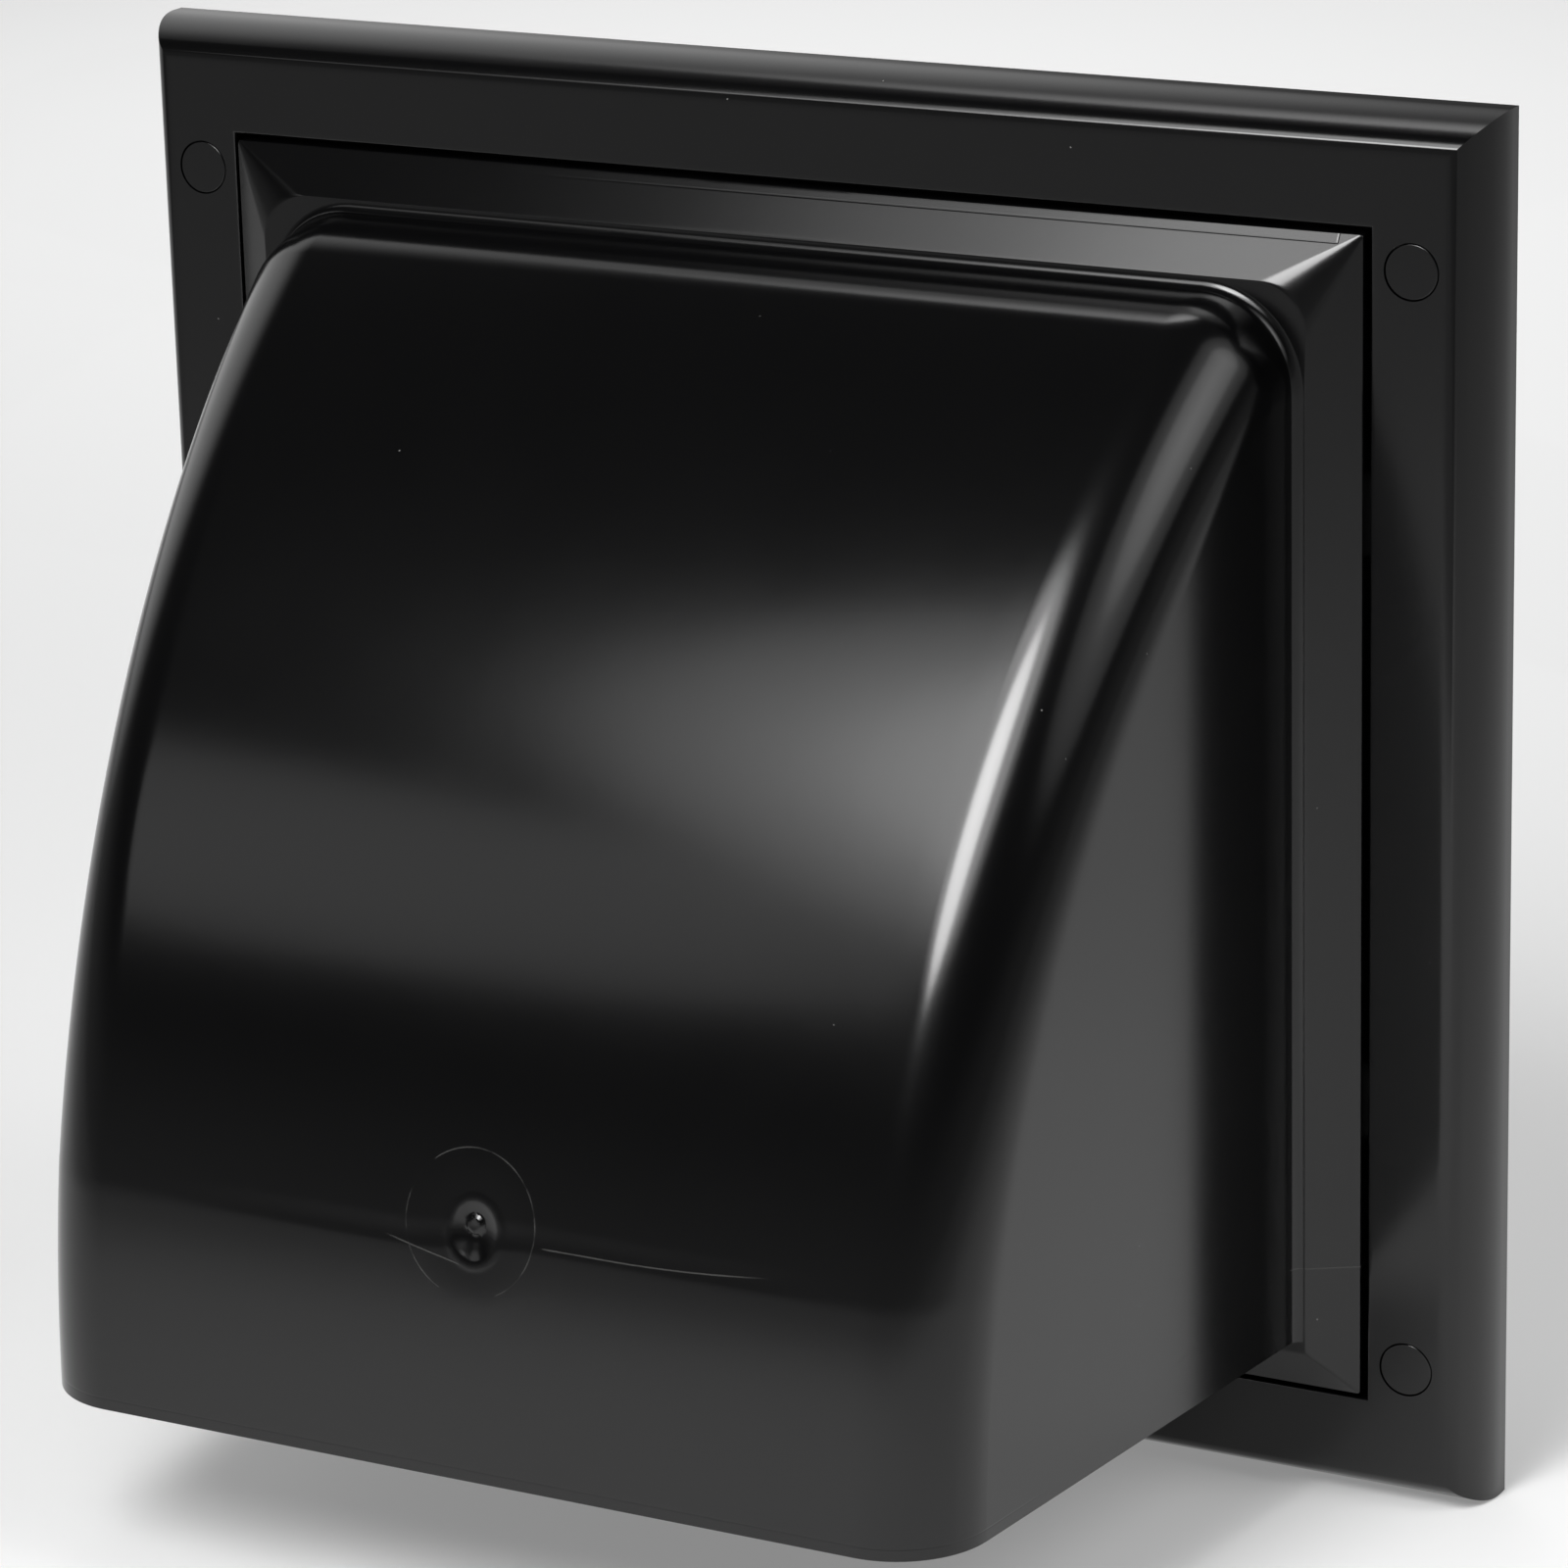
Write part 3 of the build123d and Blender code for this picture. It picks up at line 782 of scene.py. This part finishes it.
frameLow, frameHigh = boxOf("trim_frame")
trim = {
    "halfX": frameHigh[0], "halfZ": frameHigh[2], "depth": -frameLow[1],
    "sideMember": 14.5, "endMember": 13.9, "edgeRun": 5.0, "edgeRise": 9.0, "edgeCrown": 3.2, "edgeSteps": 10,
    "wall": 2.2, "rimWall": 2.0, "rimBack": 5.0, "backSoft": 0.25, "lip": 0.3, "lipSteps": 4, "hold": 0.4,
    "plugX": 85.74, "plugZ": 70.41, "pocket": 3.56, "pocketDepth": 2.2, "pocketSteps": 64,
    "pocketRoom": 0.01, "pocketProud": 1.0, "sharpAngle": 32,
}


def frameEdge(inset):
    # the curved outer edge, moved inwards by inset: a wide arc off the side, then a tight one on to the face
    run, rise, crown = trim["edgeRun"], trim["edgeRise"], trim["edgeCrown"]
    side = (run ** 2 + rise ** 2 - 2 * rise * crown) / (2 * (run - crown))
    meet = asin((rise - crown) / (side - crown))
    wide, tight, back = side - inset, crown - inset, trim["depth"] - rise
    points = []
    for k in range(trim["edgeSteps"] + 1):
        a = meet * k / trim["edgeSteps"]
        points.append((side - wide * cos(a), 0, back + wide * sin(a)))
    for k in range(1, trim["edgeSteps"] + 1):
        a = meet + (pi / 2 - meet) * k / trim["edgeSteps"]
        points.append((run - tight * cos(a), 0, trim["depth"] - crown + tight * sin(a)))
    return points


def frameSection():
    # points as distance in from the outer edge, share of the member's width, and distance out
    depth, lip, wall, rim = trim["depth"], trim["lip"], trim["wall"], trim["rimWall"]
    soft, hold = trim["backSoft"], trim["hold"]
    section = [(soft, 0, 0.0), (0.0, 0, soft)] + frameEdge(0.0)
    section += [(trim["edgeRun"] + hold, 0, depth), (-lip - hold, 1, depth)]
    for k in range(trim["lipSteps"] + 1):
        a = pi / 2 * k / trim["lipSteps"]
        section.append((-lip + lip * sin(a), 1, depth - lip + lip * cos(a)))
    section += [(0.0, 1, depth - lip - hold), (0.0, 1, trim["rimBack"])]
    section += [(-rim, 1, trim["rimBack"]), (-rim, 1, depth - wall)] + frameEdge(wall)[::-1]
    section += [(wall, 0, soft), (wall - soft, 0, 0.0)]
    return section + section[:1]


def buildFrame():
    sweep = Skin()
    rows = []
    for sideX, sideZ in ((1, 1), (1, -1), (-1, -1), (-1, 1), (1, 1)):
        row = []
        for inward, share, out in frameSection():
            x = trim["halfX"] - inward - share * trim["sideMember"]
            z = trim["halfZ"] - inward - share * trim["endMember"]
            row.append((sideX * x, out, sideZ * z))
        rows.append(row)
    sweep.grid(rows)
    made = sweep.build("trim_frame_shell")

    # round pockets for the plugs
    cutters = Skin()
    steps, radius = trim["pocketSteps"], trim["pocket"]
    circle = [(radius * cos(2 * pi * k / steps), radius * sin(2 * pi * k / steps)) for k in range(steps)]
    floor = trim["depth"] - trim["pocketDepth"] + trim["pocketRoom"]
    proud = trim["depth"] + trim["pocketProud"]
    for x in (-trim["plugX"], trim["plugX"]):
        for z in (-trim["plugZ"], trim["plugZ"]):
            rings = [[(x + across, out, z + up) for across, up in circle] for out in (floor, proud)]
            cutters.grid([ring + ring[:1] for ring in rings])
            cutters.face(rings[0])
            cutters.face(list(reversed(rings[1])))
    tool = cutters.build("pocket_cutters")
    cut = made.modifiers.new("pockets", "BOOLEAN")
    cut.operation = "DIFFERENCE"
    cut.solver = "EXACT"
    cut.object = tool
    bake(made)
    bpy.data.objects.remove(tool, do_unlink=True)
    return soften(made, 0, 0, trim["sharpAngle"])


# Screw plugs: four flush discs, set by a node tree

plugs = {"radius": 3.44, "thickness": 2.2, "edge": 0.18, "segments": 64, "sharpAngle": 60}


def plugTree(material):
    tree = bpy.data.node_groups.new("screwPlugs", "GeometryNodeTree")
    face = tree.interface
    ins = {}
    for name in ("Radius", "Thickness", "Edge", "Spacing X", "Spacing Z", "Front"):
        ins[name] = face.new_socket(name, in_out="INPUT", socket_type="NodeSocketFloat").identifier
    face.new_socket("Geometry", in_out="OUTPUT", socket_type="NodeSocketGeometry")
    start = tree.nodes.new("NodeGroupInput")

    def add(kind, settings, inputs):
        made = tree.nodes.new(kind)
        for key, value in settings.items():
            setattr(made, key, value)
        for key, value in inputs.items():
            if isinstance(value, bpy.types.NodeSocket):
                tree.links.new(value, made.inputs[key])
            else:
                made.inputs[key].default_value = value
        return made

    def sums(operation, a, b):
        return add("ShaderNodeMath", {"operation": operation}, {0: a, 1: b}).outputs[0]

    radius, thickness, edge, spacingX, spacingZ, front = (start.outputs[name] for name in ins)
    body = sums("SUBTRACT", thickness, edge)
    disc = add("GeometryNodeMeshCylinder", {}, {
        "Vertices": plugs["segments"], "Radius": radius, "Depth": body})
    crown = add("GeometryNodeExtrudeMesh", {"mode": "FACES"}, {
        "Mesh": disc.outputs["Mesh"], "Selection": disc.outputs["Top"],
        "Offset Scale": edge, "Individual": False})
    share = sums("DIVIDE", sums("SUBTRACT", radius, edge), radius)
    eased = add("GeometryNodeScaleElements", {"domain": "FACE"}, {
        "Geometry": crown.outputs["Mesh"], "Selection": crown.outputs["Top"], "Scale": share})
    # the disc's crown is set flush with the frame's face and turned to look out
    lift = sums("SUBTRACT", sums("MULTIPLY", body, -0.5), edge)
    sunk = add("ShaderNodeCombineXYZ", {}, {"Z": lift})
    flush = add("GeometryNodeTransform", {}, {"Geometry": eased.outputs[0], "Translation": sunk.outputs[0]})
    faced = add("GeometryNodeTransform", {}, {"Geometry": flush.outputs[0], "Rotation": (pi / 2, 0, 0)})
    spots = add("GeometryNodeMeshGrid", {}, {
        "Size X": spacingX, "Size Y": spacingZ, "Vertices X": 2, "Vertices Y": 2})
    level = add("ShaderNodeCombineXYZ", {}, {"Y": front})
    stood = add("GeometryNodeTransform", {}, {"Geometry": spots.outputs["Mesh"], "Rotation": (pi / 2, 0, 0)})
    moved = add("GeometryNodeTransform", {}, {"Geometry": stood.outputs[0], "Translation": level.outputs[0]})
    copies = add("GeometryNodeInstanceOnPoints", {}, {
        "Points": moved.outputs[0], "Instance": faced.outputs[0]})
    real = add("GeometryNodeRealizeInstances", {}, {"Geometry": copies.outputs[0]})
    coloured = add("GeometryNodeSetMaterial", {}, {"Geometry": real.outputs[0], "Material": material})
    end = tree.nodes.new("NodeGroupOutput")
    tree.links.new(coloured.outputs[0], end.inputs[0])
    return tree, ins


def buildPlugs(material):
    made = addObject("screw_plug_discs", bpy.data.meshes.new("screw_plug_discs"))
    tree, ins = plugTree(material)
    field = made.modifiers.new("plugs", "NODES")
    field.node_group = tree
    sizes = {"Radius": plugs["radius"], "Thickness": plugs["thickness"], "Edge": plugs["edge"],
             "Spacing X": 2 * trim["plugX"], "Spacing Z": 2 * trim["plugZ"], "Front": -trim["depth"]}
    for name, size in sizes.items():
        field[ins[name]] = size * mm
    bake(made)
    return soften(made, 0, 0, plugs["sharpAngle"])


hoodBlack = shellFinish("hood_black", hoodMarks)
frameBlack = shellFinish("frame_black")
baseBlack = baseFinish("base_black")
seatFoam = foamFinish("seal_foam")
pinSteel = steelFinish("pin_steel")
print("vent: finishes made")

hoodShell = buildHood()
wear(hoodShell, hoodBlack, "vent", "shell_black", "hood")
print("vent: hood", len(hoodShell.data.polygons), "faces")

frameShell = buildFrame()
wear(frameShell, frameBlack, "vent", "shell_black", "trim_frame")
print("vent: frame", len(frameShell.data.polygons), "faces")

plugDiscs = buildPlugs(frameBlack)
wear(plugDiscs, frameBlack, "vent", "shell_black", "screw_plugs")
print("vent: plugs", len(plugDiscs.data.polygons), "faces")

for node, material in (("mounting_base", baseBlack), ("damper_flap", baseBlack),
                       ("damper_seal", seatFoam), ("damper_pin", pinSteel)):
    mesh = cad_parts[node].data
    mesh.materials.clear()
    mesh.materials.append(material)
print("vent: base, flap, seal and pin finished")


# Stage: pale floor, soft studio light and the photograph's camera

studio = {
    "floorHalf": 12.0, "floorColour": (0.60, 0.60, 0.60, 1), "floorGlow": 0.25,
    "worldLow": 0.18, "worldHigh": 0.04, "worldBack": 1.05, "worldFrom": 0.03, "worldTo": 0.30,
    "backFrom": 0.80, "backTo": 0.95, "backAim": (-0.775, 0.484, 0.407),
    "eye": (364.01, -679.62, 231.60), "focal": 6311.0, "frame": 1600.0, "sensor": 36.0,
    "right": (0.88111, 0.47226, -0.02484), "down": (0.11874, -0.27177, -0.95501),
    "forward": (-0.45776, 0.83852, -0.29554),
}


def addFloor():
    # plain pale floor, with an even glow that only the camera and mirrored rays see
    half, level = studio["floorHalf"], frameLow[2] * mm
    mesh = bpy.data.meshes.new("floor")
    mesh.from_pydata([(-half, -half, level), (half, -half, level), (half, half, level), (-half, half, level)],
                     [], [(0, 1, 2, 3)])
    floor = addObject("floor", mesh)
    material, finish = newFinish("floor_pale")
    path = [finish.node("ShaderNodeLightPath", {}, {}, name)
            for name in ("Is Camera Ray", "Is Glossy Ray", "Is Transmission Ray")]
    seen = path[0].most(path[1]).most(path[2])
    matt = finish.node("ShaderNodeBsdfDiffuse", {}, {"Color": studio["floorColour"]})
    glow = finish.node("ShaderNodeEmission", {}, {"Color": seen * studio["floorGlow"], "Strength": 1.0})
    both = finish.node("ShaderNodeAddShader", {}, {0: matt, 1: glow})
    finish.node("ShaderNodeOutputMaterial", {}, {"Surface": both})
    mesh.materials.append(material)


def addWorld():
    # a dark studio with a pale backdrop behind the vent, to its left
    world = bpy.data.worlds.new("studio")
    bpy.context.scene.world = world
    finish = Finish(world)
    ray = finish.node("ShaderNodeTexCoord", {}, {}, "Generated")
    height = finish.node("ShaderNodeSeparateXYZ", {}, {0: ray}, "Z")
    room = finish.ease(height, studio["worldFrom"], studio["worldTo"],
                       studio["worldLow"], studio["worldHigh"])
    aim = tuple(Vector(studio["backAim"]).normalized())
    facing = finish.node("ShaderNodeVectorMath", {"operation": "DOT_PRODUCT"}, {0: ray, 1: aim}, "Value")
    backdrop = finish.ease(facing, studio["backFrom"], studio["backTo"], 0.0, studio["worldBack"])
    light = finish.node("ShaderNodeBackground", {}, {"Color": room.most(backdrop), "Strength": 1.0})
    finish.node("ShaderNodeOutputWorld", {}, {"Surface": light})


# each lamp's direction in degrees and distance in metres from the point that it is aimed at, its spread in
# degrees, and its oval layers, which give it a bright middle: width, height and how bright each looks
lamps = {
    "front_box": {"at": (0.065, -0.075, 0.0), "turn": -12.0, "rise": 45.0, "away": 0.6, "spread": 100.0,
                  "layers": [(0.20, 0.37, 15.0)]},
    "front_halo": {"at": (0.065, -0.075, 0.0), "turn": -13.0, "rise": 49.0, "away": 0.6, "spread": 100.0,
                   "layers": [(0.33, 0.36, 6.0), (0.43, 0.40, 7.5), (0.56, 0.46, 2.6)]},
    "right_box": {"at": (0.0, 0.0, 0.0), "turn": 90.0, "rise": 43.0, "away": 1.2, "spread": 70.0,
                  "layers": [(0.52, 0.46, 3.0), (0.68, 0.60, 3.0), (0.86, 0.78, 1.5), (1.30, 1.15, 1.5)]},
    "left_card": {"at": (0.0, 0.0, 0.0), "turn": -36.0, "rise": 26.0, "away": 1.2, "spread": 100.0,
                  "layers": [(0.45, 0.30, 0.9)]},
    "back_wash": {"at": (-0.42, 0.77, 0.0), "turn": 0.0, "rise": 90.0, "away": 1.2, "spread": 75.0,
                  "layers": [(0.90, 0.90, 11.0)]},
}


def addLamp(name, lamp):
    turned, rise = radians(lamp["turn"]), radians(lamp["rise"])
    aim = Vector((sin(turned) * cos(rise), -cos(turned) * cos(rise), sin(rise)))
    half = radians(lamp["spread"]) / 2
    for width, height, bright in lamp["layers"]:
        light = bpy.data.lights.new(name, "AREA")
        light.shape = "ELLIPSE"
        light.size, light.size_y, light.spread = width, height, 2 * half
        area = width * height * pi / 4
        light.energy = bright * pi * area * (1 - half / tan(half))
        made = addObject(name, light)
        at = Vector(lamp["at"]) + lamp["away"] * aim
        made.matrix_world = Matrix.Translation(at) @ aim.to_track_quat("Z", "Y").to_matrix().to_4x4()
        made.visible_camera = False


def addCamera():
    data = bpy.data.cameras.new("camera")
    data.sensor_width = studio["sensor"]
    data.lens = studio["focal"] * studio["sensor"] / studio["frame"]
    data.clip_start, data.clip_end = 0.01, 100.0
    made = addObject("camera", data)
    right, down, forward = (Vector(studio[key]) for key in ("right", "down", "forward"))
    turned = Matrix((right, -down, -forward)).transposed().to_4x4()
    made.matrix_world = Matrix.Translation(Vector(studio["eye"]) * mm) @ turned
    bpy.context.scene.camera = made


addFloor()
addWorld()
for name, lamp in lamps.items():
    addLamp(name, lamp)
addCamera()
bpy.context.scene.view_settings.view_transform = "Standard"
print("vent: stage, lamps and camera set")
